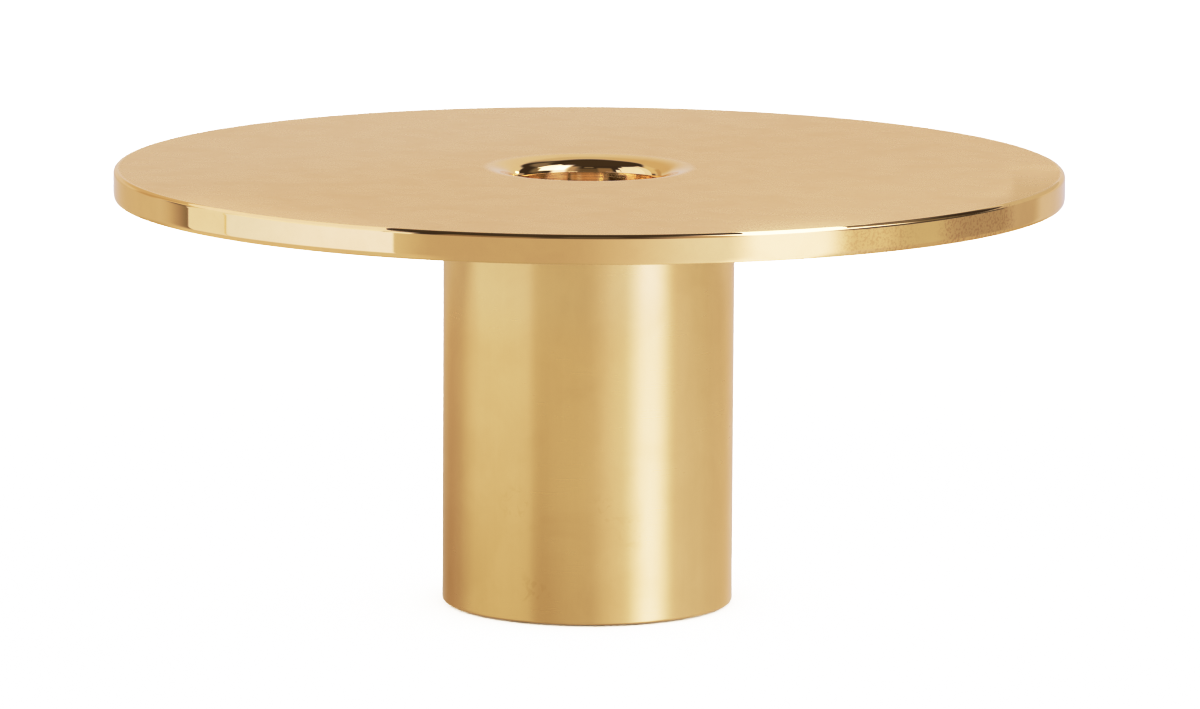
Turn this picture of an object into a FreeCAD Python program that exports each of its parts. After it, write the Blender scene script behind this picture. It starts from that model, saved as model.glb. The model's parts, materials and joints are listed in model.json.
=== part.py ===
"""Brass candle holder: a round plate with a bell-mouthed taper socket, clamped on a weighted tube stem.

All sizes are in millimetres. +Z is up, the origin is the centre of the resting face, and every turned
part shares the Z axis. Each function below makes one sub-part, and the last block writes one STEP each.
"""

import FreeCAD, Part
import math
import os

V = FreeCAD.Vector
AXIS = V(0, 0, 1)
FULL_TURN = 360
HEXAGON_SIDES = 6

# Driving sizes of the outside.
OVERALL_HEIGHT = 69.5
PLATE_DIAMETER = 150.0
PLATE_THICKNESS = 4.5
STEM_DIAMETER = 46.0
STEM_WALL = 2.0
FELT_STAND_OFF = 0.3  # the felt holds the stem's foot this far off the table

# Taper socket: a bell mouth in the plate, a slightly tapered throat under it, then the cup's straight wall
# down to its floor. The mouth is a shallow arc from the top face, then a tight arc that meets it tangent
# and ends on the throat.
SOCKET_RADIUS = 11.75
SOCKET_DEPTH = 25.0  # from the plate's top face to the cup's floor
MOUTH_SHALLOW_ARC = 9.0
MOUTH_TIGHT_ARC = 2.1
MOUTH_BLEND_SLOPE = 22.0  # degrees from flat, where the two arcs meet
THROAT_SLOPE = 4.5  # degrees from upright, so that it guides the candle in

# Edges that a polisher leaves. The plate's lower edge is a shallow arc that stops at the flat underside.
PLATE_TOP_EDGE = 0.7
PLATE_LOWER_ARC = 3.0
PLATE_LOWER_ARC_HEIGHT = 0.9
STEM_FOOT_EDGE = 0.5
STEM_TOP_BREAK = 0.15
SMALL_BREAK = 0.3

# Candle cup under the plate.
REGISTER_RADIUS = 15.0  # spigot that centres the cup in the plate
REGISTER_HEIGHT = 0.6
REGISTER_CLEARANCE = 0.05
FLANGE_CLEARANCE = 0.2  # flange inside the stem's bore
FLANGE_THICKNESS = 3.0
CUP_WALL = 2.3
CUP_FLOOR = 3.0
BOSS_RADIUS = 7.0
BOSS_BOTTOM_Z = 32.0

# Flange screws, M3 countersunk.
SCREW_COUNT = 3
SCREW_RADIUS = 1.5
SCREW_HEAD_RADIUS = 3.0
SCREW_HEAD_HEIGHT = 1.7
SCREW_HEAD_SINK = 0.1  # the head sits this much smaller than its countersink
SCREW_LENGTH = 5.6
SCREW_CLEARANCE = 0.2
SCREW_CIRCLE_RADIUS = 17.6
SCREW_HOLE_SPARE = 0.4
SCREW_KEY = 2.0  # across flats
SCREW_KEY_DEPTH = 1.1

# Clamp bolt, M6 socket head, with its two washers.
BOLT_RADIUS = 3.0
BOLT_LENGTH = 30.0
BOLT_HEAD_RADIUS = 5.0
BOLT_HEAD_HEIGHT = 6.0
BOLT_KEY = 5.0  # across flats
BOLT_KEY_DEPTH = 3.0
BOLT_HOLE_SPARE = 1.2
WASHER_BORE_RADIUS = 3.2
FLAT_WASHER_RADIUS = 6.0
FLAT_WASHER_THICKNESS = 1.6
SPRING_WASHER_RADIUS = 5.6
SPRING_WASHER_THICKNESS = 1.6
SPRING_WASHER_GAP = 0.9
SPRING_WASHER_GAP_TURN = 30.0  # degrees from +X

# Weight in the foot, and the felt under it.
FELT_THICKNESS = 2.0
FELT_CLEARANCE = 0.3
FELT_EDGE = 0.3
WEIGHT_TOP_Z = 30.0
WEIGHT_CHAMFER = 0.8
BOLT_WELL_RADIUS = 7.0
BOLT_WELL_DEPTH = 10.0
BOLT_CLEARANCE = 0.3

# Sizes worked out from the ones above.
PLATE_TOP_Z = OVERALL_HEIGHT
PLATE_UNDER_Z = PLATE_TOP_Z - PLATE_THICKNESS
PLATE_RADIUS = PLATE_DIAMETER / 2
STEM_RADIUS = STEM_DIAMETER / 2
STEM_BORE_RADIUS = STEM_RADIUS - STEM_WALL
STEM_FOOT_Z = FELT_STAND_OFF
BLEND = math.radians(MOUTH_BLEND_SLOPE)
THROAT = math.radians(THROAT_SLOPE)
CUP_TOP_Z = PLATE_UNDER_Z + REGISTER_HEIGHT
MOUTH_WIDTH = MOUTH_SHALLOW_ARC * math.sin(BLEND) + MOUTH_TIGHT_ARC * (math.cos(THROAT) - math.sin(BLEND))
MOUTH_DEPTH = (
    MOUTH_SHALLOW_ARC * (1 - math.cos(BLEND)) + MOUTH_TIGHT_ARC * (math.cos(BLEND) - math.sin(THROAT)))
THROAT_TOP_Z = PLATE_TOP_Z - MOUTH_DEPTH
THROAT_TOP_RADIUS = SOCKET_RADIUS + (THROAT_TOP_Z - CUP_TOP_Z) * math.tan(THROAT)
LOWER_ARC_ANGLE = math.degrees(math.asin(PLATE_LOWER_ARC_HEIGHT / PLATE_LOWER_ARC))
PLATE_UNDER_RADIUS = PLATE_RADIUS - PLATE_LOWER_ARC * (1 - math.cos(math.radians(LOWER_ARC_ANGLE)))
CUP_FLOOR_Z = PLATE_TOP_Z - SOCKET_DEPTH
CUP_UNDER_Z = CUP_FLOOR_Z - CUP_FLOOR
CUP_RADIUS = SOCKET_RADIUS + CUP_WALL
FLANGE_UNDER_Z = PLATE_UNDER_Z - FLANGE_THICKNESS
WEIGHT_FOOT_Z = FELT_THICKNESS
WELL_TOP_Z = WEIGHT_FOOT_Z + BOLT_WELL_DEPTH
FLAT_WASHER_Z = WELL_TOP_Z - FLAT_WASHER_THICKNESS
SPRING_WASHER_Z = FLAT_WASHER_Z - SPRING_WASHER_THICKNESS
BOLT_HEAD_Z = SPRING_WASHER_Z - BOLT_HEAD_HEIGHT
BOLT_TIP_Z = SPRING_WASHER_Z + BOLT_LENGTH


def at(radius, height):
    """A point of a turned profile, in the XZ plane."""
    return V(radius, 0, height)


def around(radius, turn, height):
    """A point at a radius and a height, turned about the Z axis by an angle in degrees from +X."""
    angle = math.radians(turn)
    return V(radius * math.cos(angle), radius * math.sin(angle), height)


def line(start, end):
    return Part.LineSegment(start, end).toShape()


def lines(*points):
    """Straight edges through the points in order."""
    return [line(a, b) for a, b in zip(points, points[1:])]


def rounded(centre, radius, start_angle, end_angle):
    """A circular edge in the XZ plane. Angles are in degrees, from +X towards +Z."""
    def on_circle(angle):
        turn = math.radians(angle)
        return at(centre.x + radius * math.cos(turn), centre.z + radius * math.sin(turn))

    middle = (start_angle + end_angle) / 2
    return Part.Arc(on_circle(start_angle), on_circle(middle), on_circle(end_angle)).toShape()


def turned(edges):
    """The solid swept by a closed profile about the Z axis."""
    wire = Part.Wire(Part.__sortEdges__(edges))
    return Part.Face(wire).revolve(V(0, 0, 0), AXIS, FULL_TURN)


def cylinder(radius, height, base, direction=AXIS):
    return Part.makeCylinder(radius, height, base, direction)


def hex_recess(across_flats, depth, mouth, direction):
    """A hexagonal key recess that starts at mouth and goes along direction."""
    corner_radius = across_flats / math.sqrt(3)
    corners = [around(corner_radius, FULL_TURN * k / HEXAGON_SIDES, 0) for k in range(HEXAGON_SIDES + 1)]
    prism = Part.Face(Part.makePolygon(corners)).extrude(direction * depth)
    prism.translate(mouth)
    return prism


def screw_places():
    """Centres of the flange screws on the plate's underside, the first one towards +Y."""
    first_turn = 90
    return [
        around(SCREW_CIRCLE_RADIUS, first_turn + FULL_TURN * k / SCREW_COUNT, PLATE_UNDER_Z)
        for k in range(SCREW_COUNT)
    ]


def bell_mouth():
    """The two arcs from the top of the throat up to the plate's top face, and the mouth's two ends."""
    throat_end = at(THROAT_TOP_RADIUS, THROAT_TOP_Z)
    face_end = at(THROAT_TOP_RADIUS + MOUTH_WIDTH, PLATE_TOP_Z)
    throat_angle = 180 - THROAT_SLOPE
    blend_angle = 90 + MOUTH_BLEND_SLOPE
    tight_centre = throat_end + MOUTH_TIGHT_ARC * at(math.cos(THROAT), -math.sin(THROAT))
    tight = rounded(tight_centre, MOUTH_TIGHT_ARC, throat_angle, blend_angle)
    shallow = rounded(at(face_end.x, face_end.z - MOUTH_SHALLOW_ARC), MOUTH_SHALLOW_ARC, blend_angle, 90)
    return [tight, shallow], throat_end, face_end


def top_plate():
    """Thick brass disc with rounded rims, the bell mouth, a register for the cup and tapped holes."""
    edges, throat_end, face_end = bell_mouth()
    register_wall = REGISTER_RADIUS + REGISTER_CLEARANCE
    edges += lines(face_end, at(PLATE_RADIUS - PLATE_TOP_EDGE, PLATE_TOP_Z))
    edges.append(rounded(
        at(PLATE_RADIUS - PLATE_TOP_EDGE, PLATE_TOP_Z - PLATE_TOP_EDGE), PLATE_TOP_EDGE, 90, 0))
    edges += lines(
        at(PLATE_RADIUS, PLATE_TOP_Z - PLATE_TOP_EDGE),
        at(PLATE_RADIUS, PLATE_UNDER_Z + PLATE_LOWER_ARC_HEIGHT))
    edges.append(rounded(
        at(PLATE_RADIUS - PLATE_LOWER_ARC, PLATE_UNDER_Z + PLATE_LOWER_ARC_HEIGHT),
        PLATE_LOWER_ARC, 0, -LOWER_ARC_ANGLE))
    edges += lines(
        at(PLATE_UNDER_RADIUS, PLATE_UNDER_Z),
        at(register_wall, PLATE_UNDER_Z),
        at(register_wall, CUP_TOP_Z),
        at(SOCKET_RADIUS, CUP_TOP_Z),
        throat_end)
    plate = turned(edges)
    hole_depth = SCREW_LENGTH - FLANGE_THICKNESS + SCREW_HOLE_SPARE
    for place in screw_places():
        plate = plate.cut(cylinder(SCREW_RADIUS, hole_depth, place))
    return plate


def candle_cup():
    """Turned brass cup that holds the taper, with its flange, spigot and tapped boss."""
    edges = lines(
        at(0, CUP_FLOOR_Z),
        at(SOCKET_RADIUS, CUP_FLOOR_Z),
        at(SOCKET_RADIUS, CUP_TOP_Z),
        at(REGISTER_RADIUS, CUP_TOP_Z),
        at(REGISTER_RADIUS, PLATE_UNDER_Z),
        at(STEM_BORE_RADIUS - FLANGE_CLEARANCE, PLATE_UNDER_Z),
        at(STEM_BORE_RADIUS - FLANGE_CLEARANCE, FLANGE_UNDER_Z + SMALL_BREAK),
        at(STEM_BORE_RADIUS - FLANGE_CLEARANCE - SMALL_BREAK, FLANGE_UNDER_Z),
        at(CUP_RADIUS, FLANGE_UNDER_Z),
        at(CUP_RADIUS, CUP_UNDER_Z + SMALL_BREAK),
        at(CUP_RADIUS - SMALL_BREAK, CUP_UNDER_Z),
        at(BOSS_RADIUS, CUP_UNDER_Z),
        at(BOSS_RADIUS, BOSS_BOTTOM_Z + SMALL_BREAK),
        at(BOSS_RADIUS - SMALL_BREAK, BOSS_BOTTOM_Z),
        at(0, BOSS_BOTTOM_Z),
        at(0, CUP_FLOOR_Z))
    cup = turned(edges)
    tapped_depth = BOLT_TIP_Z - BOSS_BOTTOM_Z + BOLT_HOLE_SPARE
    cup = cup.cut(cylinder(BOLT_RADIUS, tapped_depth, at(0, BOSS_BOTTOM_Z)))
    for place in screw_places():
        foot = place - AXIS * FLANGE_THICKNESS
        shank = cylinder(SCREW_RADIUS + SCREW_CLEARANCE, FLANGE_THICKNESS, foot)
        countersink = Part.makeCone(
            SCREW_HEAD_RADIUS, SCREW_RADIUS + SCREW_CLEARANCE, SCREW_HEAD_HEIGHT, foot, AXIS)
        cup = cup.cut(shank).cut(countersink)
    return cup


def cup_screw(place):
    """One countersunk screw, head down in the flange, thread up in the plate."""
    foot = place - AXIS * FLANGE_THICKNESS
    head = Part.makeCone(
        SCREW_HEAD_RADIUS - SCREW_HEAD_SINK, SCREW_RADIUS, SCREW_HEAD_HEIGHT, foot, AXIS)
    shank_length = SCREW_LENGTH - SCREW_HEAD_HEIGHT - SMALL_BREAK
    shank = cylinder(SCREW_RADIUS, shank_length, foot + AXIS * SCREW_HEAD_HEIGHT)
    tip_foot = foot + AXIS * (SCREW_LENGTH - SMALL_BREAK)
    tip = Part.makeCone(SCREW_RADIUS, SCREW_RADIUS - SMALL_BREAK, SMALL_BREAK, tip_foot, AXIS)
    screw = head.fuse([shank, tip]).removeSplitter()
    return screw.cut(hex_recess(SCREW_KEY, SCREW_KEY_DEPTH, foot, AXIS))


def cup_screws():
    return Part.makeCompound([cup_screw(place) for place in screw_places()])


def stem_tube():
    """Brass tube between the plate and the foot, with its outer foot edge rounded."""
    return turned(
        lines(
            at(STEM_BORE_RADIUS, PLATE_UNDER_Z),
            at(STEM_RADIUS - STEM_TOP_BREAK, PLATE_UNDER_Z),
            at(STEM_RADIUS, PLATE_UNDER_Z - STEM_TOP_BREAK),
            at(STEM_RADIUS, STEM_FOOT_Z + STEM_FOOT_EDGE))
        + [rounded(at(STEM_RADIUS - STEM_FOOT_EDGE, STEM_FOOT_Z + STEM_FOOT_EDGE), STEM_FOOT_EDGE, 0, -90)]
        + lines(
            at(STEM_RADIUS - STEM_FOOT_EDGE, STEM_FOOT_Z),
            at(STEM_BORE_RADIUS + SMALL_BREAK, STEM_FOOT_Z),
            at(STEM_BORE_RADIUS, STEM_FOOT_Z + SMALL_BREAK),
            at(STEM_BORE_RADIUS, PLATE_UNDER_Z)))


def base_weight():
    """Iron slug pressed into the stem's foot, with a well for the bolt's head and washers."""
    bolt_hole = BOLT_RADIUS + BOLT_CLEARANCE
    return turned(lines(
        at(bolt_hole, WEIGHT_TOP_Z),
        at(STEM_BORE_RADIUS - WEIGHT_CHAMFER, WEIGHT_TOP_Z),
        at(STEM_BORE_RADIUS, WEIGHT_TOP_Z - WEIGHT_CHAMFER),
        at(STEM_BORE_RADIUS, WEIGHT_FOOT_Z),
        at(BOLT_WELL_RADIUS, WEIGHT_FOOT_Z),
        at(BOLT_WELL_RADIUS, WELL_TOP_Z),
        at(bolt_hole, WELL_TOP_Z),
        at(bolt_hole, WEIGHT_TOP_Z)))


def clamp_bolt():
    """Socket-head bolt that pulls the cup, and so the plate, down on the stem."""
    bolt = turned(lines(
        at(0, BOLT_HEAD_Z),
        at(BOLT_HEAD_RADIUS - SMALL_BREAK, BOLT_HEAD_Z),
        at(BOLT_HEAD_RADIUS, BOLT_HEAD_Z + SMALL_BREAK),
        at(BOLT_HEAD_RADIUS, SPRING_WASHER_Z),
        at(BOLT_RADIUS, SPRING_WASHER_Z),
        at(BOLT_RADIUS, BOLT_TIP_Z - SMALL_BREAK),
        at(BOLT_RADIUS - SMALL_BREAK, BOLT_TIP_Z),
        at(0, BOLT_TIP_Z),
        at(0, BOLT_HEAD_Z)))
    return bolt.cut(hex_recess(BOLT_KEY, BOLT_KEY_DEPTH, at(0, BOLT_HEAD_Z), AXIS))


def ring(outer_radius, inner_radius, thickness, foot_z):
    outer = cylinder(outer_radius, thickness, at(0, foot_z))
    return outer.cut(cylinder(inner_radius, thickness, at(0, foot_z)))


def flat_washer():
    return ring(FLAT_WASHER_RADIUS, WASHER_BORE_RADIUS, FLAT_WASHER_THICKNESS, FLAT_WASHER_Z)


def spring_washer():
    """Split washer, drawn flat as it is when the bolt is tight."""
    washer = ring(SPRING_WASHER_RADIUS, WASHER_BORE_RADIUS, SPRING_WASHER_THICKNESS, SPRING_WASHER_Z)
    split = Part.makeBox(
        SPRING_WASHER_RADIUS, SPRING_WASHER_GAP, SPRING_WASHER_THICKNESS,
        V(0, -SPRING_WASHER_GAP / 2, SPRING_WASHER_Z))
    split.rotate(at(0, SPRING_WASHER_Z), AXIS, SPRING_WASHER_GAP_TURN)
    return washer.cut(split)


def felt_pad():
    """Felt disc glued under the weight, which the holder stands on."""
    radius = STEM_BORE_RADIUS - FELT_CLEARANCE
    return turned(lines(
        at(0, 0),
        at(radius - FELT_EDGE, 0),
        at(radius, FELT_EDGE),
        at(radius, FELT_THICKNESS),
        at(0, FELT_THICKNESS),
        at(0, 0)))


NODES = {
    "top_plate": top_plate,
    "candle_cup": candle_cup,
    "cup_screws": cup_screws,
    "stem_tube": stem_tube,
    "base_weight": base_weight,
    "clamp_bolt": clamp_bolt,
    "flat_washer": flat_washer,
    "spring_washer": spring_washer,
    "felt_pad": felt_pad,
}

os.makedirs("parts", exist_ok=True)
for name, make in NODES.items():
    shape = make()
    shape.exportStep(os.path.join("parts", name + ".step"))
    print(f"{name}: {len(shape.Solids)} solid(s), {shape.Volume:.0f} mm3, valid {shape.isValid()}")
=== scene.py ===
import json
import math
import bmesh
import bpy
from mathutils import Matrix, Vector


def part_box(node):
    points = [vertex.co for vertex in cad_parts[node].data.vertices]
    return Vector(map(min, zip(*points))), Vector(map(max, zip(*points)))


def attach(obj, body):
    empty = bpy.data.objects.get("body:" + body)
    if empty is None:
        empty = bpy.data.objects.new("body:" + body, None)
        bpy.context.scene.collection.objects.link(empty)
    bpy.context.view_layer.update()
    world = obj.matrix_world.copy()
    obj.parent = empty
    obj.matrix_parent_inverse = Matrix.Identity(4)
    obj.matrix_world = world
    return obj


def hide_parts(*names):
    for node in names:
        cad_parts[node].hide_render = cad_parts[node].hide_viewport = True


# Looks of the brass candle holder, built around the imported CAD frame. Everything is in metres and in
# the frame's own axes: +Z up, the resting face at z = 0, and the camera on the -Y side.

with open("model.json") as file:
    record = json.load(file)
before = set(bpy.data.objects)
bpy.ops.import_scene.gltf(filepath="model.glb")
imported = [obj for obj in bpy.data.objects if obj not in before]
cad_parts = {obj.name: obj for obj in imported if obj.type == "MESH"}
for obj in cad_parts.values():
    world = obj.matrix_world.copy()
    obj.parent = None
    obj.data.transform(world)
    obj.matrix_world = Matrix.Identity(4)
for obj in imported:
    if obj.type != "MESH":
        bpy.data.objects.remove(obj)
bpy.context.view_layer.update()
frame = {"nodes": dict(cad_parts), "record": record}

MM = 0.001
TURN = 2 * math.pi
DEGREES = 180 / math.pi
BODY = "root"


def box_top(node):
    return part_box(node)[1].z


def box_foot(node):
    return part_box(node)[0].z


def box_radius(node):
    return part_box(node)[1].x


# Sizes read from the frame.
PLATE_RADIUS = box_radius("top_plate")
PLATE_TOP = box_top("top_plate")
PLATE_UNDER = box_foot("top_plate")
STEM_RADIUS = box_radius("stem_tube")
STEM_FOOT = box_foot("stem_tube")
STEM_TOP = box_top("stem_tube")
WEIGHT_RADIUS = box_radius("base_weight")
CUP_TOP = box_top("candle_cup")
CUP_BOSS_FOOT = box_foot("candle_cup")
FLANGE_RADIUS = box_radius("candle_cup")
FELT_RADIUS = box_radius("felt_pad")
FELT_TOP = box_top("felt_pad")
SOCKET = next(m for m in frame["record"]["mounts"] if m["name"] == "taper_socket")
SOCKET_RADIUS = SOCKET["dims"]["r_mm"] * MM
SOCKET_FLOOR = SOCKET["pos_m"][2] - SOCKET["dims"]["length_mm"] * MM / 2

# Sizes of the turned details.
MOUTH_SHALLOW_ARC = 9.0 * MM
MOUTH_TIGHT_ARC = 2.1 * MM
MOUTH_BLEND_SLOPE = 22.0  # degrees from flat, where the two arcs meet
THROAT_SLOPE = 4.5  # degrees from upright, chosen for what the wall mirrors
PLATE_TOP_EDGE = 0.7 * MM
PLATE_LOWER_ARC = 3.0 * MM
PLATE_LOWER_ARC_HEIGHT = 0.9 * MM
PLATE_LOWER_BREAK = 0.12 * MM
STEM_FOOT_EDGE = 0.5 * MM
STEM_TOP_BREAK = 0.15 * MM
SMALL_BREAK = 0.3 * MM
REGISTER_RADIUS = 15.0 * MM
REGISTER_CLEARANCE = 0.05 * MM
CUP_WALL = 2.3 * MM
CUP_FLOOR = 3.0 * MM
FLANGE_THICKNESS = 3.0 * MM
BOSS_RADIUS = 7.0 * MM
BOLT_HOLE_RADIUS = 3.0 * MM
BOLT_HOLE_DEPTH = 8.0 * MM
SCREW_CIRCLE_RADIUS = 17.6 * MM
SCREW_COUNT = 3
TAPPED_RADIUS = 1.5 * MM
TAPPED_DEPTH = 3.0 * MM
SCREW_HOLE_RADIUS = 1.7 * MM
COUNTERSINK_RADIUS = 3.0 * MM
COUNTERSINK_DEPTH = 1.7 * MM

BLEND = math.radians(MOUTH_BLEND_SLOPE)
THROAT = math.radians(THROAT_SLOPE)
MOUTH_WIDTH = MOUTH_SHALLOW_ARC * math.sin(BLEND) + MOUTH_TIGHT_ARC * (math.cos(THROAT) - math.sin(BLEND))
MOUTH_DEPTH = (
    MOUTH_SHALLOW_ARC * (1 - math.cos(BLEND)) + MOUTH_TIGHT_ARC * (math.cos(BLEND) - math.sin(THROAT)))
THROAT_TOP = PLATE_TOP - MOUTH_DEPTH
THROAT_TOP_RADIUS = SOCKET_RADIUS + (THROAT_TOP - CUP_TOP) * math.tan(THROAT)
MOUTH_RADIUS = THROAT_TOP_RADIUS + MOUTH_WIDTH

SEGMENTS = 256  # round a turned piece


# ---------------------------------------------------------------- turned meshes

def arc(centre_r, centre_z, radius, start, end, steps):
    """Points (r, z) along a circular arc; angles in degrees from +r towards +z."""
    points = []
    for k in range(steps + 1):
        angle = math.radians(start + (end - start) * k / steps)
        points.append((centre_r + radius * math.cos(angle), centre_z + radius * math.sin(angle)))
    return points


def straight(start, end, rings, margin=0.0):
    """Points between two profile corners, with a support ring a margin away from each end."""
    (r0, z0), (r1, z1) = start, end
    length = math.hypot(r1 - r0, z1 - z0)
    shares = [(k + 1) / (rings + 1) for k in range(rings)]
    if margin:
        shares = [margin / length] + shares + [1 - margin / length]
    return [(r0 + (r1 - r0) * s, z0 + (z1 - z0) * s) for s in shares]


def revolve(name, profile, segments=SEGMENTS, closed=True):
    """A turned solid from a profile of (r, z) points; a point on the axis becomes one pole vertex."""
    mesh = bpy.data.meshes.new(name)
    work = bmesh.new()
    rings = []
    for r, z in profile:
        if r < 1e-9:
            rings.append([work.verts.new((0, 0, z))])
            continue
        rings.append([
            work.verts.new((r * math.cos(TURN * k / segments), r * math.sin(TURN * k / segments), z))
            for k in range(segments)
        ])
    pairs = list(zip(rings, rings[1:]))
    if closed:
        pairs.append((rings[-1], rings[0]))
    for lower, upper in pairs:
        if len(lower) == 1 and len(upper) == 1:
            continue
        for k in range(segments):
            after = (k + 1) % segments
            corners = [lower[k % len(lower)], lower[after % len(lower)],
                       upper[after % len(upper)], upper[k % len(upper)]]
            face = list(dict.fromkeys(corners))
            work.faces.new(face)
    bmesh.ops.recalc_face_normals(work, faces=work.faces)
    work.to_mesh(mesh)
    work.free()
    mesh.shade_smooth()
    mesh.set_sharp_from_angle(angle=math.radians(32))
    piece = bpy.data.objects.new(name, mesh)
    bpy.context.scene.collection.objects.link(piece)
    return piece


def drilled(piece, radius, foot, top, places, top_radius=None):
    """Cuts upright round holes in a piece, or cones where a top radius is given."""
    work = bmesh.new()
    for x, y in places:
        where = Matrix.Translation((x, y, (foot + top) / 2))
        bmesh.ops.create_cone(
            work, cap_ends=True, segments=48, radius1=radius,
            radius2=radius if top_radius is None else top_radius, depth=top - foot, matrix=where)
    mesh = bpy.data.meshes.new("drill")
    work.to_mesh(mesh)
    work.free()
    drill = bpy.data.objects.new("drill", mesh)
    bpy.context.scene.collection.objects.link(drill)
    cut = piece.modifiers.new("holes", "BOOLEAN")
    cut.object = drill
    cut.solver = "EXACT"
    bpy.context.view_layer.update()
    solid = bpy.data.meshes.new_from_object(piece.evaluated_get(bpy.context.evaluated_depsgraph_get()))
    piece.modifiers.clear()
    piece.data = solid
    solid.name = piece.name
    bpy.data.objects.remove(drill)


def screw_places():
    turns = [math.radians(90) + TURN * k / SCREW_COUNT for k in range(SCREW_COUNT)]
    return [(SCREW_CIRCLE_RADIUS * math.cos(a), SCREW_CIRCLE_RADIUS * math.sin(a)) for a in turns]


def make_plate():
    support = 0.05 * MM
    wall = REGISTER_RADIUS + REGISTER_CLEARANCE
    blend_angle = 90 + MOUTH_BLEND_SLOPE
    mouth = arc(THROAT_TOP_RADIUS + MOUTH_TIGHT_ARC * math.cos(THROAT),
                THROAT_TOP - MOUTH_TIGHT_ARC * math.sin(THROAT),
                MOUTH_TIGHT_ARC, 180 - THROAT_SLOPE, blend_angle, 36)
    mouth += arc(MOUTH_RADIUS, PLATE_TOP - MOUTH_SHALLOW_ARC, MOUTH_SHALLOW_ARC, blend_angle, 90, 24)[1:]
    top_edge = arc(PLATE_RADIUS - PLATE_TOP_EDGE, PLATE_TOP - PLATE_TOP_EDGE, PLATE_TOP_EDGE, 90, 0, 20)
    to_break = PLATE_LOWER_ARC - PLATE_LOWER_BREAK
    sweep = math.asin((PLATE_LOWER_ARC_HEIGHT - PLATE_LOWER_BREAK) / to_break)
    bottom_edge = arc(PLATE_RADIUS - PLATE_LOWER_ARC, PLATE_UNDER + PLATE_LOWER_ARC_HEIGHT,
                      PLATE_LOWER_ARC, 0, -math.degrees(sweep), 12)
    bottom_edge += arc(PLATE_RADIUS - PLATE_LOWER_ARC + to_break * math.cos(sweep),
                       PLATE_UNDER + PLATE_LOWER_BREAK, PLATE_LOWER_BREAK, -math.degrees(sweep), -90, 6)[1:]
    profile = mouth
    profile += straight(mouth[-1], top_edge[0], 10, support)
    profile += top_edge
    profile += straight(top_edge[-1], bottom_edge[0], 2, support)
    profile += bottom_edge
    profile += straight(bottom_edge[-1], (wall, PLATE_UNDER), 8, support)
    profile += [(wall, PLATE_UNDER), (wall, CUP_TOP), (SOCKET_RADIUS, CUP_TOP)]
    profile += straight((SOCKET_RADIUS, CUP_TOP), mouth[0], 2, support)
    plate = revolve("brass_plate", profile)
    drilled(plate, TAPPED_RADIUS, PLATE_UNDER - SMALL_BREAK, PLATE_UNDER + TAPPED_DEPTH, screw_places())
    return plate


def make_cup():
    profile = [(0, SOCKET_FLOOR)]
    profile += straight((0, SOCKET_FLOOR), (SOCKET_RADIUS, SOCKET_FLOOR), 3)
    profile += arc(SOCKET_RADIUS - SMALL_BREAK, SOCKET_FLOOR + SMALL_BREAK, SMALL_BREAK, -90, 0, 6)
    profile += straight(profile[-1], (SOCKET_RADIUS, CUP_TOP), 12, 0.05 * MM)
    profile += [
        (SOCKET_RADIUS, CUP_TOP),
        (REGISTER_RADIUS, CUP_TOP),
        (REGISTER_RADIUS, PLATE_UNDER),
        (FLANGE_RADIUS, PLATE_UNDER),
        (FLANGE_RADIUS, PLATE_UNDER - FLANGE_THICKNESS + SMALL_BREAK),
        (FLANGE_RADIUS - SMALL_BREAK, PLATE_UNDER - FLANGE_THICKNESS),
        (SOCKET_RADIUS + CUP_WALL, PLATE_UNDER - FLANGE_THICKNESS),
        (SOCKET_RADIUS + CUP_WALL, SOCKET_FLOOR - CUP_FLOOR + SMALL_BREAK),
        (SOCKET_RADIUS + CUP_WALL - SMALL_BREAK, SOCKET_FLOOR - CUP_FLOOR),
        (BOSS_RADIUS, SOCKET_FLOOR - CUP_FLOOR),
        (BOSS_RADIUS, CUP_BOSS_FOOT + SMALL_BREAK),
        (BOSS_RADIUS - SMALL_BREAK, CUP_BOSS_FOOT),
        (BOLT_HOLE_RADIUS, CUP_BOSS_FOOT),
        (BOLT_HOLE_RADIUS, CUP_BOSS_FOOT + BOLT_HOLE_DEPTH),
        (0, CUP_BOSS_FOOT + BOLT_HOLE_DEPTH),
    ]
    cup = revolve("brass_cup", profile, closed=False)
    flange_foot = PLATE_UNDER - FLANGE_THICKNESS
    drilled(cup, SCREW_HOLE_RADIUS, flange_foot - SMALL_BREAK, PLATE_UNDER + SMALL_BREAK, screw_places())
    drilled(cup, COUNTERSINK_RADIUS, flange_foot, flange_foot + COUNTERSINK_DEPTH, screw_places(),
            SCREW_HOLE_RADIUS)
    return cup


def make_stem():
    support = 0.05 * MM
    foot_edge = arc(STEM_RADIUS - STEM_FOOT_EDGE, STEM_FOOT + STEM_FOOT_EDGE, STEM_FOOT_EDGE, 0, -90, 12)
    break_foot = (STEM_RADIUS, STEM_TOP - STEM_TOP_BREAK)
    profile = [(WEIGHT_RADIUS, STEM_TOP), (STEM_RADIUS - STEM_TOP_BREAK, STEM_TOP), break_foot]
    profile += straight(break_foot, foot_edge[0], 24, support)
    profile += foot_edge
    profile += [
        (WEIGHT_RADIUS + SMALL_BREAK, STEM_FOOT),
        (WEIGHT_RADIUS, STEM_FOOT + SMALL_BREAK),
    ]
    return revolve("brass_stem", profile)


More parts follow.
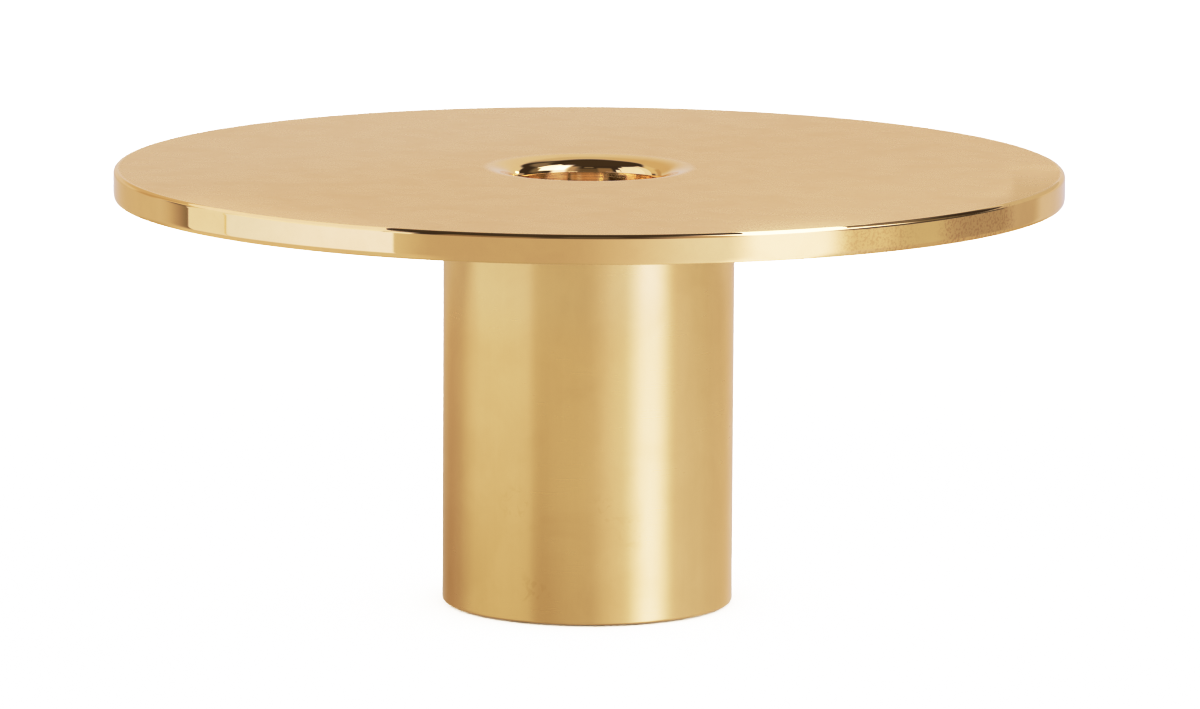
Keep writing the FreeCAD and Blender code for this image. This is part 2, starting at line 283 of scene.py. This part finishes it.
def make_felt():
    """A felt disc with a soft foot edge and a small bevel at its top, kept inside the CAD disc."""
    rim = 0.35 * MM
    profile = [(0, FELT_TOP)]
    profile += straight((0, FELT_TOP), (FELT_RADIUS, FELT_TOP), 12)
    profile += [(FELT_RADIUS - 0.1 * MM, FELT_TOP)]
    profile += straight((FELT_RADIUS, FELT_TOP), (FELT_RADIUS, rim), 3)
    profile += arc(FELT_RADIUS - rim, rim, rim, 0, -90, 6)
    profile += straight((FELT_RADIUS - rim, 0), (0, 0), 24)
    profile += [(0, 0)]
    return revolve("felt_disc", profile, segments=180, closed=False)


# ---------------------------------------------------------------- shader nodes

class Graph:
    """Short calls that each add one shader node and give back its output socket."""

    def __init__(self, tree):
        self.tree = tree

    def node(self, kind, inputs=(), **settings):
        made = self.tree.nodes.new(kind)
        for key, value in settings.items():
            setattr(made, key, value)
        for key, value in dict(inputs).items():
            self.put(made.inputs[key], value)
        return made

    def put(self, socket, value):
        if isinstance(value, bpy.types.NodeSocket):
            self.tree.links.new(value, socket)
        else:
            socket.default_value = value

    def math(self, operation, a, b=0.0, clamp=False):
        return self.node("ShaderNodeMath", {0: a, 1: b}, operation=operation, use_clamp=clamp).outputs[0]

    def times(self, a, b):
        return self.math("MULTIPLY", a, b)

    def plus(self, a, b):
        return self.math("ADD", a, b)

    def smooth(self, value, low, high, start=0.0, end=1.0):
        """Goes smoothly from start to end while value goes from low to high."""
        inputs = {"Value": value, "From Min": low, "From Max": high, "To Min": start, "To Max": end}
        return self.node("ShaderNodeMapRange", inputs, interpolation_type="SMOOTHSTEP").outputs["Result"]

    def scaled(self, vector, scale):
        inputs = {0: vector, 1: scale}
        return self.node("ShaderNodeVectorMath", inputs, operation="MULTIPLY").outputs[0]

    def noise(self, vector, scale, detail=2.0, roughness=0.5, distortion=0.0):
        inputs = {"Vector": vector, "Scale": scale, "Detail": detail, "Roughness": roughness,
                  "Distortion": distortion}
        return self.node("ShaderNodeTexNoise", inputs).outputs["Fac"]

    def colour(self, factor, first, second, blend="MIX"):
        made = self.node("ShaderNodeMix", data_type="RGBA", blend_type=blend)
        self.put(made.inputs[0], factor)
        self.put(made.inputs[6], first)
        self.put(made.inputs[7], second)
        return made.outputs[2]

    def bump(self, height, strength, distance, normal=None):
        inputs = {"Height": height, "Strength": strength, "Distance": distance}
        if normal is not None:
            inputs["Normal"] = normal
        return self.node("ShaderNodeBump", inputs).outputs["Normal"]


def band(graph, value, span, soft):
    """1 inside a span and 0 outside, with soft edges: one softness, or one for each end."""
    soft_low, soft_high = soft if isinstance(soft, tuple) else (soft, soft)
    low, high = span
    rise = graph.smooth(value, low - soft_low, low + soft_low)
    fall = graph.smooth(value, high - soft_high, high + soft_high, 1.0, 0.0)
    return graph.times(rise, fall)


def rgb(r, g, b):
    return (r, g, b, 1.0)


def new_material(name):
    """A material with its graph, its principled shader and the object-space position."""
    made = bpy.data.materials.new(name)
    made.use_nodes = True
    graph = Graph(made.node_tree)
    shader = made.node_tree.nodes["Principled BSDF"]
    place = graph.node("ShaderNodeTexCoord").outputs["Object"]
    return made, graph, shader, place


def cylindrical(graph, place):
    """Radius and height of the shaded point, in millimetres."""
    split = graph.node("ShaderNodeSeparateXYZ", {"Vector": place})
    flat = graph.math("POWER", split.outputs["X"], 2.0)
    flat = graph.plus(flat, graph.math("POWER", split.outputs["Y"], 2.0))
    radius = graph.times(graph.math("SQRT", flat), 1000.0)
    height = graph.times(split.outputs["Z"], 1000.0)
    return radius, height, split


def azimuth_of(graph, split):
    """Azimuth in degrees of a split vector: 0 towards the camera, positive to the camera's right."""
    away = graph.times(split.outputs["Y"], -1.0)
    return graph.times(graph.math("ARCTAN2", split.outputs["X"], away), DEGREES)


# Brass tones: clean and seen head-on, seen at a grazing angle, under a brown bloom that also paints dark
# reflections in the throat, paler for painted light and painted reflections, and yellowed by handling and
# painted shade. Each finish has its roughness from its smoothest spots to its dullest.
BRASS = rgb(0.90, 0.67, 0.35)
BRASS_EDGE = rgb(0.96, 0.86, 0.70)
BLOOM_AND_PAINTED_DARK = rgb(0.62, 0.38, 0.17)
PAINTED_LIGHT_BRASS = rgb(0.94, 0.84, 0.62)
MOTTLE_AND_PAINTED_SHADE_BRASS = rgb(0.64, 0.42, 0.145)
SATIN_ROUGHNESS = (0.266, 0.274)
POLISHED_ROUGHNESS = (0.03, 0.05)
BRUSHED_ROUGHNESS = (0.273, 0.281)
BORE_ROUGHNESS = (0.05, 0.12)


def brass_shader(graph, shader):
    shader.inputs["Metallic"].default_value = 1.0
    shader.inputs["Specular Tint"].default_value = BRASS_EDGE


SPECKED = ((31.0, 40.5), (45.5, 60.0))  # azimuths of the two specked stretches of the plate's side


def plate_material():
    """Satin top, polished roundings and mouth, turned throat, and a polished side with specks."""
    made, graph, shader, place = new_material("plate_brass")
    brass_shader(graph, shader)
    radius, height, split = cylindrical(graph, place)
    mouth_radius = MOUTH_RADIUS / MM
    plate_radius = PLATE_RADIUS / MM
    edge = PLATE_TOP_EDGE / MM
    inside = graph.smooth(radius, mouth_radius - 2.0, mouth_radius + 0.8)
    outside = graph.smooth(radius, plate_radius - edge - 0.3, plate_radius - edge + 0.1, 1.0, 0.0)
    satin = graph.times(inside, outside)
    cloud = graph.noise(place, 160.0, 5.0, 0.6, 0.4)
    grain = graph.noise(place, 900.0, 3.0, 0.6)
    patches = graph.smooth(cloud, 0.35, 0.7)
    satin_rough = graph.plus(graph.smooth(grain, 0.2, 0.8, *SATIN_ROUGHNESS), graph.times(patches, 0.02))
    polished_rough = graph.smooth(cloud, 0.3, 0.8, *POLISHED_ROUGHNESS)
    rough = graph.node("ShaderNodeMix", {0: satin, 2: polished_rough, 3: satin_rough}).outputs[0]
    graph.put(shader.inputs["Roughness"], rough)

    # Brown specks on the right of the side wall, in two stretches with a clean one between.
    turn = azimuth_of(graph, split)
    first = band(graph, turn, SPECKED[0], 2.5)
    second = band(graph, turn, SPECKED[1], 1.5)
    side = graph.smooth(radius, plate_radius - 0.4, plate_radius - 0.1)
    stretch = graph.times(graph.math("MAXIMUM", graph.times(first, 0.8), second), side)
    specks = graph.smooth(graph.noise(place, 2200.0, 3.0, 0.65), 0.48, 0.60)
    speckled = graph.times(stretch, graph.plus(graph.times(specks, 0.45), 0.02))

    # The throat's wall is turned. Its brown middle and ends and the pale stretches between them follow what
    # it mirrors in the photograph: they stand in for those images, and aren't marks seen on the object.
    throat_top = THROAT_TOP / MM
    socket_radius = SOCKET_RADIUS / MM
    wall = graph.times(graph.smooth(height, throat_top - 0.15, throat_top + 0.15, 1.0, 0.0),
                       graph.smooth(radius, socket_radius + 0.3, socket_radius + 0.6, 1.0, 0.0))
    grooves = graph.noise(graph.scaled(place, (30.0, 30.0, 14000.0)), 1.0, 2.0, 0.5)
    turned = graph.bump(grooves, graph.times(wall, 0.12), 0.00003)
    # Painted reflections on the throat's wall: pale stretches, and a brown middle and ends.
    off_middle = graph.math("ABSOLUTE", split.outputs["X"])
    painted_pale_reflection = graph.times(graph.smooth(off_middle, 0.0030, 0.0046),
                        graph.smooth(off_middle, 0.0080, 0.0088, 1.0, 0.0))
    painted_dark_reflection = graph.smooth(off_middle, 0.0080, 0.0090, 0.22, 0.55)

    # The top is painted a little paler towards its back left: painted light. The top is a little paler
    # towards its back left, which may be the room's light and not the brass.
    leftwards = graph.math("SUBTRACT", split.outputs["Y"], split.outputs["X"])
    painted_light_back_left = graph.times(satin, graph.smooth(leftwards, 0.0, 0.07, 0.0, 0.24))

    clouded = graph.colour(graph.times(patches, 0.08), BRASS, BLOOM_AND_PAINTED_DARK)
    specks_and_painted_reflection = graph.colour(graph.plus(speckled, graph.times(wall, painted_dark_reflection)), clouded, BLOOM_AND_PAINTED_DARK)
    pale = graph.plus(graph.times(graph.times(wall, painted_pale_reflection), 0.85), painted_light_back_left)
    graph.put(shader.inputs["Base Color"], graph.colour(pale, specks_and_painted_reflection, PAINTED_LIGHT_BRASS))
    graph.put(shader.inputs["Normal"], graph.bump(grain, 0.02, 0.00002, turned))
    return made


# Finger marks on the front of the stem: how far across and how high, in millimetres.
STEM_SMUDGES = [(-11.2, 19.0), (2.8, 18.5), (7.5, 15.0), (-8.6, 5.5)]


def smudge(graph, place, centre):
    """A faint, torn mark a few millimetres wide round a point."""
    offset = graph.node("ShaderNodeVectorMath", {0: place, 1: centre}, operation="SUBTRACT").outputs[0]
    distance = graph.node("ShaderNodeVectorMath", {0: offset}, operation="LENGTH").outputs["Value"]
    near = graph.smooth(distance, 0.001, 0.004, 0.13, 0.0)
    return graph.times(near, graph.smooth(graph.noise(place, 420.0, 4.0, 0.6, 1.2), 0.5, 0.62))


def stem_material():
    """Satin brass with fine brush lines round the tube, so its highlights run along the axis."""
    made, graph, shader, place = new_material("stem_brass")
    brass_shader(graph, shader)
    shader.inputs["Anisotropic"].default_value = 0.7
    shader.inputs["Anisotropic Rotation"].default_value = 0.25
    tangent = graph.node("ShaderNodeTangent", direction_type="RADIAL", axis="Z").outputs[0]
    graph.put(shader.inputs["Tangent"], tangent)
    radius, height, split = cylindrical(graph, place)
    lines = graph.noise(graph.scaled(place, (60.0, 60.0, 5200.0)), 1.0, 3.0, 0.65)
    cloud = graph.noise(place, 90.0, 4.0, 0.6, 0.6)
    patches = graph.smooth(cloud, 0.40, 0.66)
    streaks = graph.smooth(graph.noise(graph.scaled(place, (420.0, 420.0, 24.0)), 1.0, 3.0, 0.6), 0.35, 0.65)
    rough = graph.plus(graph.smooth(lines, 0.25, 0.75, *BRUSHED_ROUGHNESS), graph.times(patches, 0.02))
    graph.put(shader.inputs["Roughness"], rough)

    # Yellower low down, most on the left and less on the front, and a little high on the right: painted
    # shade. It follows the photograph's colours, which may be tarnish or the room's light: one photograph
    # can't tell.
    # The finger marks added to it are the brass's own smudges.
    across = split.outputs["X"]
    low = graph.smooth(height, 0.0, 55.0, 1.0, 0.0)
    left = graph.smooth(across, -0.0085, -0.002, 0.44, 0.0)
    far_left = graph.smooth(across, -0.0222, -0.0205, 0.33, 0.0)
    painted_shade_and_smudges = graph.times(low, graph.plus(left, far_left))
    foot = graph.smooth(height, 0.0, 24.0, 1.0, 0.0)
    front = graph.times(graph.smooth(across, -0.0085, -0.005, 0.12, 0.25),
                        graph.smooth(across, 0.006, 0.010, 1.0, 0.0))
    painted_shade_and_smudges = graph.plus(painted_shade_and_smudges, graph.times(foot, front))
    up = graph.smooth(height, 10.0, 50.0)
    right = graph.smooth(across, 0.014, 0.0175, 0.0, 0.20)
    painted_shade_and_smudges = graph.plus(painted_shade_and_smudges, graph.times(up, right))
    for x, z in STEM_SMUDGES:
        front_y = -math.sqrt(STEM_RADIUS ** 2 - (x * MM) ** 2)
        painted_shade_and_smudges = graph.plus(painted_shade_and_smudges, smudge(graph, place, (x * MM, front_y, z * MM)))
    mottle = graph.plus(graph.times(patches, 0.08), graph.times(streaks, 0.04))
    tone = graph.colour(graph.plus(mottle, painted_shade_and_smudges), BRASS, MOTTLE_AND_PAINTED_SHADE_BRASS)

    # Paler just under the plate: painted light. Paler just under the plate, which may
    # be either as well.
    painted_light_under_plate = graph.times(graph.smooth(height, 42.0, 54.0, 0.0, 0.14),
                            graph.smooth(across, 0.010, 0.014, 1.0, 0.0))
    graph.put(shader.inputs["Base Color"], graph.colour(painted_light_under_plate, tone, PAINTED_LIGHT_BRASS))
    graph.put(shader.inputs["Normal"], graph.bump(lines, 0.006, 0.00001))
    return made


def cup_material():
    """Turned brass with fine rings."""
    made, graph, shader, place = new_material("cup_brass")
    brass_shader(graph, shader)
    rings = graph.noise(graph.scaled(place, (40.0, 40.0, 2500.0)), 1.0, 3.0, 0.6)
    graph.put(shader.inputs["Roughness"], graph.smooth(rings, 0.2, 0.8, *BORE_ROUGHNESS))
    graph.put(shader.inputs["Base Color"], graph.colour(graph.times(rings, 0.2), BRASS, BLOOM_AND_PAINTED_DARK))
    graph.put(shader.inputs["Normal"], graph.bump(rings, 0.1, 0.00001))
    return made


def steel_material(name, tone, dark, rough):
    """Plated or oxided steel, a little cloudy."""
    made, graph, shader, place = new_material(name)
    shader.inputs["Metallic"].default_value = 1.0
    cloud = graph.noise(place, 700.0, 4.0, 0.6)
    graph.put(shader.inputs["Base Color"], graph.colour(cloud, tone, dark))
    graph.put(shader.inputs["Roughness"], graph.smooth(cloud, 0.2, 0.8, rough, rough + 0.15))
    graph.put(shader.inputs["Normal"], graph.bump(cloud, 0.2, 0.00003))
    return made


def iron_material():
    """Blackened iron with the grain of a casting."""
    made, graph, shader, place = new_material("cast_iron")
    shader.inputs["Metallic"].default_value = 0.85
    grain = graph.noise(place, 1400.0, 5.0, 0.65)
    cloud = graph.noise(place, 120.0, 3.0, 0.5)
    graph.put(shader.inputs["Base Color"], graph.colour(cloud, rgb(0.06, 0.06, 0.065), rgb(0.13, 0.11, 0.1)))
    graph.put(shader.inputs["Roughness"], graph.smooth(grain, 0.2, 0.8, 0.5, 0.75))
    graph.put(shader.inputs["Normal"], graph.bump(grain, 0.6, 0.00015))
    return made


def felt_material():
    """Dark pressed wool felt."""
    made, graph, shader, place = new_material("felt")
    shader.inputs["Sheen Weight"].default_value = 0.4
    shader.inputs["Sheen Roughness"].default_value = 0.6
    shader.inputs["Roughness"].default_value = 0.95
    fibres = graph.noise(place, 2600.0, 6.0, 0.7, 1.5)
    cloud = graph.noise(place, 150.0, 3.0, 0.5)
    tone = graph.colour(fibres, rgb(0.035, 0.03, 0.027), rgb(0.12, 0.105, 0.095))
    faded = graph.colour(graph.times(cloud, 0.4), tone, rgb(0.05, 0.045, 0.04))
    graph.put(shader.inputs["Base Color"], faded)
    graph.put(shader.inputs["Normal"], graph.bump(fibres, 0.8, 0.0002))
    return made


# ---------------------------------------------------------------- pieces

def dress(piece, material, node):
    piece.data.materials.clear()
    piece.data.materials.append(material)
    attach(piece, BODY)
    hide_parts(node)


dress(make_plate(), plate_material(), "top_plate")
dress(make_cup(), cup_material(), "candle_cup")
dress(make_stem(), stem_material(), "stem_tube")
dress(make_felt(), felt_material(), "felt_pad")

zinc = steel_material("zinc_steel", rgb(0.62, 0.62, 0.60), rgb(0.45, 0.46, 0.48), 0.28)
black_oxide = steel_material("black_oxide_steel", rgb(0.10, 0.10, 0.11), rgb(0.18, 0.18, 0.19), 0.35)
iron = iron_material()
KEPT_NODES = {
    "cup_screws": zinc,
    "flat_washer": zinc,
    "spring_washer": zinc,
    "clamp_bolt": black_oxide,
    "base_weight": iron,
}
for node, material in KEPT_NODES.items():
    mesh = frame["nodes"][node].data
    mesh.materials.clear()
    mesh.materials.append(material)


# ---------------------------------------------------------------- studio

FLOOR_SIZE = 12.0


def make_floor():
    """Plain pale paper, which the brass doesn't mirror: the studio's patches stand for the table."""
    mesh = bpy.data.meshes.new("studio_floor")
    work = bmesh.new()
    bmesh.ops.create_grid(work, x_segments=1, y_segments=1, size=FLOOR_SIZE / 2)
    work.to_mesh(mesh)
    work.free()
    floor = bpy.data.objects.new("studio_floor", mesh)
    bpy.context.scene.collection.objects.link(floor)
    floor.visible_glossy = False
    paper, graph, shader, place = new_material("pale_paper")
    shader.inputs["Roughness"].default_value = 0.9
    shader.inputs["Specular IOR Level"].default_value = 0.0
    pulp = graph.noise(place, 30.0, 3.0)
    graph.put(shader.inputs["Base Color"], graph.colour(pulp, rgb(0.90, 0.90, 0.90), rgb(0.92, 0.92, 0.92)))
    mesh.materials.append(paper)


make_floor()

# What polished brass mirrors, as soft or hard-edged patches of the studio round it. Each has its span of
# azimuth (0 towards the camera, positive to its right) and of elevation in degrees, how soft those edges
# are, and its light. Later patches lie over earlier ones. They were set until the brass took the
# photograph's colours: they are a fit to one photograph, and what each is called here is a guess.
CEILING = (0.08, 0.055, 0.045)
FULL = (-400, 400)
PATCHES = [
    (FULL, (56, 124), 1, 8, (0.10, 0.07, 0.05)),                        # ceiling overhead
    (FULL, (-100, 7), 1, 2, (0.68, 0.62, 0.58)),                        # table
    ((-125, -40), (-60, -14), 8, 5, (0.83, 0.78, 0.80)),                # table lit from the left
    (FULL, (-100, -36), 1, 8, (0.62, 0.58, 0.52)),                      # table close by
    ((130, 236), (-14, 47), (7, 6), 3, (0.78, 0.76, 0.84)),             # backdrop
    ((130, 236), (2, 47), (7, 6), 3, (0.85, 0.84, 0.97)),               # its brighter upper part
    ((140, 181), (12, 36), (7, 4), 4, (0.88, 0.87, 1.00)),              # the brightest of it
    ((130, 236), (36, 47), (7, 6), 4, (0.75, 0.72, 0.75)),              # and its top
    ((186, 225), (14, 47), (5, 8), 4, (0.75, 0.67, 0.60)),              # a brass glow on it
    ((205, 236), (-14, 3), 6, 2, (0.76, 0.73, 0.77)),                   # its dimmer left foot
    ((136, 172), (-14, 2), (5, 8), 2, (0.80, 0.81, 1.02)),              # a paler strip low on its right
    ((12, 72), (-60, 7), 20, 2, (1.00, 1.02, 1.26)),                    # table lit from the right
    ((66, 118), (-1, 70), (5, 3), 2, CEILING),                          # dark room on the right
    ((66, 138), (12, 70), (5, 3), 3, CEILING),                          # wider above the table
    ((66, 166), (33, 70), 5, 3, CEILING),                               # and wider still above the backdrop
    ((60, 84), (-14, -1), (4, 8), 2, (0.88, 0.87, 0.92)),               # end of the lit table
    ((78, 97), (-14, -1), (6, 7), 2, (0.72, 0.70, 0.68)),               # table before the dark room
    ((97, 128), (-14, -1), 7, 2, (0.55, 0.51, 0.46)),                   # far end of the table
    ((121, 138), (-14, 13), 4, 2, (0.66, 0.62, 0.65)),                  # table behind it
    ((78, 150), (44, 60), 6, 4, (0.36, 0.31, 0.27)),                    # wall above
    ((80, 106), (14, 48), 8, 6, (0.34, 0.29, 0.22)),                    # faint glow in the dark room
    ((138, 149), (12, 18), 2, 1.2, (4.0, 4.0, 4.0)),                    # small lamp at the back
    ((-13, 20), (5, 32), 4, 3, (0.22, 0.16, 0.10)),                     # dim front of the room
    ((-37, -13), (5, 38), (2, 3), 5, (0.40, 0.31, 0.20)),               # its left, a little brighter
    ((20, 38), (5, 52), (8, 3), 5, (0.60, 0.52, 0.45)),                 # wall lit by the softbox
    ((37, 61.5), (-50, 64), (5, 5.5), 6, (1.50, 1.50, 1.97)),           # softbox
    ((41, 73), (25, 57), 3, 4, (2.60, 2.80, 3.60)),                     # its bright upper part
    ((60, 90), (24, 50), 3, 3, (2.00, 2.15, 2.80)),                     # its far end
    ((-60, -43), (-30, 7), (1, 6), 2, (0.80, 0.78, 0.80)),              # glow beside the card
    ((-134, -111), (14, 45), (5, 3), 3, (0.86, 0.79, 0.74)),            # wall behind the post
    ((-142, -128), (3, 31), 4, 4, (0.66, 0.56, 0.43)),                  # and its dim end
    ((-115.5, -100), (-14, 12), (6, 1), 3, (0.31, 0.25, 0.15)),         # dark post
    ((-112, -47.3), (-14, 12), 0.4, 2, (1.20, 1.25, 1.75)),             # card on the left
    ((-112, -78), (-14, 12), (0.4, 22), 2, (1.04, 1.11, 1.52)),         # its far side
    ((-112, -51), (11, 42), 0.4, 2, (1.20, 1.20, 1.48)),                # its upper part
    ((-112, -62), (40, 50), 0.4, 2, (1.20, 1.20, 1.48)),                # and its top
    ((-112, -97.3), (-14, 50), 0.4, 2, (1.02, 1.03, 1.26)),             # a second card over its end
    ((-97.6, -97.0), (-14, 50), 0.2, 2, (0.90, 0.82, 0.70)),            # the gap between the two
    ((-50, -42.6), (-4.5, 26), 0.5, 2, (1.20, 1.20, 1.50)),             # a small card beside them
    ((-7, 9), (39, 46), 2, 2, (0.40, 0.34, 0.26)),                      # a stand over the camera
]

# The light that reaches the stem under the plate: spans of azimuth, how soft their edges are, and light.
# The spans at the back start nearer the front just under the plate. These are set in the same way.
UNDER_PLATE = [
    (FULL, 1, (0.73, 0.69, 0.67)),
    ((-45, 3), (2.5, 14), (0.72, 0.68, 0.62)),
    ((-95, -38), (11, 2.5), (0.89, 0.90, 0.97)),
    ((-128, -106), (8, 4), (0.66, 0.60, 0.57)),
    ((-400, -137), 6, (0.71, 0.70, 0.80)),
    ((10, 62), (10, 6), (0.91, 0.92, 1.02)),
    ((31.5, 53), (8, 7), (1.42, 1.48, 1.98)),
    ((61, 95), (5, 10), (0.80, 0.80, 0.88)),
    ((95, 125), 8, (0.76, 0.745, 0.81)),
    ((125, 400), 8, (0.83, 0.85, 1.08)),
]


def reflector(name, first, second, turns, steps):
    """A band of reflector between two rings (radius, height) round the axis, seen only in the brass."""
    mesh = bpy.data.meshes.new(name)
    work = bmesh.new()
    start, end = turns
    angles = [math.radians(start + (end - start) * k / steps) for k in range(steps + 1)]
    rows = [[work.verts.new((radius * math.sin(a), -radius * math.cos(a), height)) for a in angles]
            for radius, height in (first, second)]
    for k in range(steps):
        work.faces.new((rows[0][k], rows[1][k], rows[1][k + 1], rows[0][k + 1]))
    work.to_mesh(mesh)
    work.free()
    piece = bpy.data.objects.new(name, mesh)
    bpy.context.scene.collection.objects.link(piece)
    piece.visible_camera = False
    piece.visible_diffuse = False
    piece.visible_shadow = False
    glow = bpy.data.materials.new(name)
    glow.use_nodes = True
    mesh.materials.append(glow)
    graph = Graph(glow.node_tree)
    emission = graph.node("ShaderNodeEmission", {"Strength": 1.0})
    output = next(n for n in glow.node_tree.nodes if n.type == "OUTPUT_MATERIAL")
    glow.node_tree.links.new(emission.outputs[0], output.inputs["Surface"])
    return graph, emission


def level_card(name, rise, reach, turns, tone):
    """A card hung level over the plate: its rise over it, its inner and outer radius and its azimuths."""
    height = PLATE_TOP + rise
    graph, emission = reflector(name, (reach[0], height), (reach[1], height), turns, 24)
    emission.inputs["Color"].default_value = rgb(*tone)


SCREEN_RADIUS = PLATE_RADIUS - 5 * MM
SCREEN_FOOT = -60 * MM
SCREEN_TOP = PLATE_UNDER - 1 * MM


def under_plate_screen():
    """A pale screen under the plate's rim, right round the stem."""
    foot, top = (SCREEN_RADIUS, SCREEN_FOOT), (SCREEN_RADIUS, SCREEN_TOP)
    graph, emission = reflector("under_plate_screen", foot, top, (0, 360), 120)
    place = graph.node("ShaderNodeTexCoord").outputs["Object"]
    split = graph.node("ShaderNodeSeparateXYZ", {"Vector": place})
    azimuth = azimuth_of(graph, split)
    back = graph.smooth(graph.math("ABSOLUTE", azimuth), 78.0, 104.0)
    high = graph.smooth(split.outputs["Z"], PLATE_UNDER - 32 * MM, PLATE_UNDER - 6 * MM)
    lean = graph.times(graph.times(back, high), 0.26)
    azimuth = graph.times(azimuth, graph.plus(lean, 1.0))
    light = rgb(*CEILING)
    for span, soft, tone in UNDER_PLATE:
        light = graph.colour(band(graph, azimuth, span, soft), light, rgb(*tone))
    graph.put(emission.inputs["Color"], light)


# Cards close over the plate, set one by one too, for mirror images that a distant patch can't place.
level_card("left_edge_card", 8 * MM, (65 * MM, 85 * MM), (-64.5, -26.9), (1.12, 1.10, 1.40))
level_card("right_edge_card", 8 * MM, (65 * MM, 85 * MM), (20.0, 35.2), (2.4, 2.6, 3.4))
level_card("right_end_card", 4 * MM, (67 * MM, 91 * MM), (63.5, 96), (0.72, 0.70, 0.75))
level_card("mouth_card", 50 * MM, (20 * MM, 58 * MM), (84, 113), (1.8, 1.95, 2.5))
under_plate_screen()


def wrapped_band(graph, azimuth, span, soft):
    """A band of azimuth that may run past 180 degrees behind the object."""
    masks = [band(graph, azimuth, span, soft)]
    if span[1] > 180 and span[0] > -180:
        masks.append(band(graph, azimuth, (span[0] - 360, span[1] - 360), soft))
    total = masks[0]
    for mask in masks[1:]:
        total = graph.math("ADD", total, mask, clamp=True)
    return total


# What lights the matt floor, near the horizon and overhead, and what the camera sees behind it all.
DOME_LOW = 8.0
DOME_HIGH = 0.5
BACKDROP = 2.0


def make_studio():
    """The world: patches for the brass to mirror, a dome for the floor, and a white backdrop."""
    world = bpy.data.worlds.new("studio")
    bpy.context.scene.world = world
    world.use_nodes = True
    graph = Graph(world.node_tree)
    direction = graph.node("ShaderNodeTexCoord").outputs["Generated"]
    split = graph.node("ShaderNodeSeparateXYZ", {"Vector": direction})
    azimuth = azimuth_of(graph, split)
    elevation = graph.times(graph.math("ARCSINE", split.outputs["Z"]), DEGREES)
    light = rgb(*CEILING)
    for azimuths, elevations, soft_azimuth, soft_elevation, tone in PATCHES:
        mask = graph.times(wrapped_band(graph, azimuth, azimuths, soft_azimuth),
                           band(graph, elevation, elevations, soft_elevation))
        light = graph.colour(mask, light, rgb(*tone))
    mirrored = graph.node("ShaderNodeBackground", {"Color": light, "Strength": 1.0}).outputs[0]
    low_light = graph.smooth(elevation, 30.0, 40.0, DOME_LOW, DOME_HIGH)
    dome = graph.node("ShaderNodeBackground", {"Color": rgb(1, 1, 1), "Strength": low_light}).outputs[0]
    backdrop = graph.node("ShaderNodeBackground", {"Color": rgb(1, 1, 1), "Strength": BACKDROP}).outputs[0]
    rays = graph.node("ShaderNodeLightPath")
    diffuse, from_camera = rays.outputs["Is Diffuse Ray"], rays.outputs["Is Camera Ray"]
    lit = graph.node("ShaderNodeMixShader", {0: diffuse, 1: mirrored, 2: dome}).outputs[0]
    seen = graph.node("ShaderNodeMixShader", {0: from_camera, 1: lit, 2: backdrop}).outputs[0]
    output = next(n for n in world.node_tree.nodes if n.type == "OUTPUT_WORLD")
    world.node_tree.links.new(seen, output.inputs["Surface"])


make_studio()

# ---------------------------------------------------------------- camera

CAMERA_DISTANCE = 1.3
CAMERA_HEIGHT = 0.24618  # above the stem's foot
CAMERA_PITCH = math.radians(9.043)
CAMERA_ROLL = math.radians(0.331)
CAMERA_LENS = 249.45
SENSOR = 36.0
OFF_CENTRE = 0.00978  # the axis stands this share of the frame's width left of its middle

lens = bpy.data.cameras.new("camera")
lens.lens = CAMERA_LENS
lens.sensor_width = SENSOR
camera = bpy.data.objects.new("camera", lens)
bpy.context.scene.collection.objects.link(camera)
yaw = -math.atan(OFF_CENTRE * SENSOR / CAMERA_LENS)
camera.matrix_world = (
    Matrix.Translation((0, -CAMERA_DISTANCE, STEM_FOOT + CAMERA_HEIGHT))
    @ Matrix.Rotation(yaw, 4, "Z")
    @ Matrix.Rotation(math.pi / 2 - CAMERA_PITCH, 4, "X")
    @ Matrix.Rotation(CAMERA_ROLL, 4, "Z")
)
bpy.context.scene.camera = camera

# A camera's tone curve, as pairs of scene light and shown tone: deeper shadows and a soft shoulder, so
# bright brass pales instead of clipping. WHITE is the light shown as pure white.
TONE = [(0.25, 0.17), (0.5, 0.45), (0.8, 0.74), (1.2, 0.92)]
WHITE = 2.0
look = bpy.context.scene.view_settings
look.view_transform = "Standard"
look.use_curve_mapping = True
curve = look.curve_mapping
curve.white_level = (WHITE, WHITE, WHITE)
master = curve.curves[3]
for scene_light, shown in TONE:
    master.points.new(scene_light / WHITE, shown)
curve.update()
